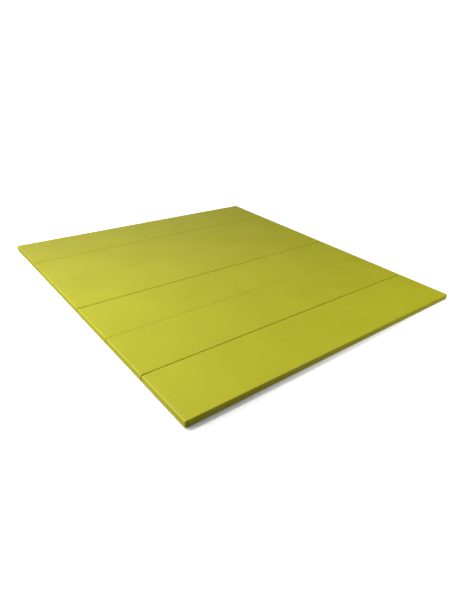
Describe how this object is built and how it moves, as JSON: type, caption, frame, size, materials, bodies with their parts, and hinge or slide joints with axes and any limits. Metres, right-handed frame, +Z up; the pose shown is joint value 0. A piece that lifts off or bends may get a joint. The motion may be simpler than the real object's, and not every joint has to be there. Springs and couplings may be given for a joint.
{
  "type": "folding floor mat",
  "caption": "Thin folding foam mat: long padded panels in coated-fabric covers, joined edge to edge by fabric hinges so that it folds up as a zigzag",
  "frame": {"origin": "centre of the underside, on the floor", "axes": "+X along the panels, +Y across the panels from the near edge to the far edge, +Z up out of the lying face"},
  "size_m": [1.4, 1.5, 0.027],
  "materials": {
    "coated_fabric": "satin",
    "hinge_fabric": "satin",
    "foam": "matte"
  },
  "bodies": {
    "strip_2": {"hinge_strip_2": "hinge_fabric"},
    "panel_1": {"foam_core_1": "foam", "sleeve_1": "coated_fabric", "left_end_cap_1": "coated_fabric", "right_end_cap_1": "coated_fabric"},
    "panel_2": {"foam_core_2": "foam", "sleeve_2": "coated_fabric", "left_end_cap_2": "coated_fabric", "right_end_cap_2": "coated_fabric", "hinge_strip_1": "hinge_fabric"},
    "panel_3": {"foam_core_3": "foam", "sleeve_3": "coated_fabric", "left_end_cap_3": "coated_fabric", "right_end_cap_3": "coated_fabric", "hinge_strip_3": "hinge_fabric"},
    "panel_4": {"foam_core_4": "foam", "sleeve_4": "coated_fabric", "left_end_cap_4": "coated_fabric", "right_end_cap_4": "coated_fabric"},
    "strip_4": {"hinge_strip_4": "hinge_fabric"},
    "panel_5": {"foam_core_5": "foam", "sleeve_5": "coated_fabric", "left_end_cap_5": "coated_fabric", "right_end_cap_5": "coated_fabric", "hinge_strip_5": "hinge_fabric"},
    "panel_6": {"foam_core_6": "foam", "sleeve_6": "coated_fabric", "left_end_cap_6": "coated_fabric", "right_end_cap_6": "coated_fabric"}
  },
  "joints": [
    {"name": "fold_2_far_side", "type": "hinge", "parent": "strip_2", "child": "panel_2", "pos_m": [0, 0.252, 0.027], "axis": [1, 0, 0], "range_deg": [0, 90]},
    {"name": "fold_1", "type": "hinge", "parent": "panel_2", "child": "panel_1", "pos_m": [0, 0.501, -0.0005], "axis": [-1, 0, 0], "range_deg": [0, 180]},
    {"name": "fold_2_near_side", "type": "hinge", "parent": "strip_2", "child": "panel_3", "pos_m": [0, 0.249, 0.027], "axis": [-1, 0, 0], "range_deg": [0, 90]},
    {"name": "fold_3", "type": "hinge", "parent": "panel_3", "child": "panel_4", "pos_m": [0, 0, -0.0005], "axis": [1, 0, 0], "range_deg": [0, 180]},
    {"name": "fold_4_far_side", "type": "hinge", "parent": "panel_4", "child": "strip_4", "pos_m": [0, -0.249, 0.027], "axis": [-1, 0, 0], "range_deg": [0, 90]},
    {"name": "fold_4_near_side", "type": "hinge", "parent": "strip_4", "child": "panel_5", "pos_m": [0, -0.252, 0.027], "axis": [-1, 0, 0], "range_deg": [0, 90]},
    {"name": "fold_5", "type": "hinge", "parent": "panel_5", "child": "panel_6", "pos_m": [0, -0.501, -0.0005], "axis": [1, 0, 0], "range_deg": [0, 180]}
  ],
  "couplings": [
    {"joint": "fold_2_far_side", "follows": "fold_1", "ratio": 0.5},
    {"joint": "fold_2_near_side", "follows": "fold_3", "ratio": 0.5},
    {"joint": "fold_4_far_side", "follows": "fold_3", "ratio": 0.5},
    {"joint": "fold_4_near_side", "follows": "fold_5", "ratio": 0.5}
  ]
}
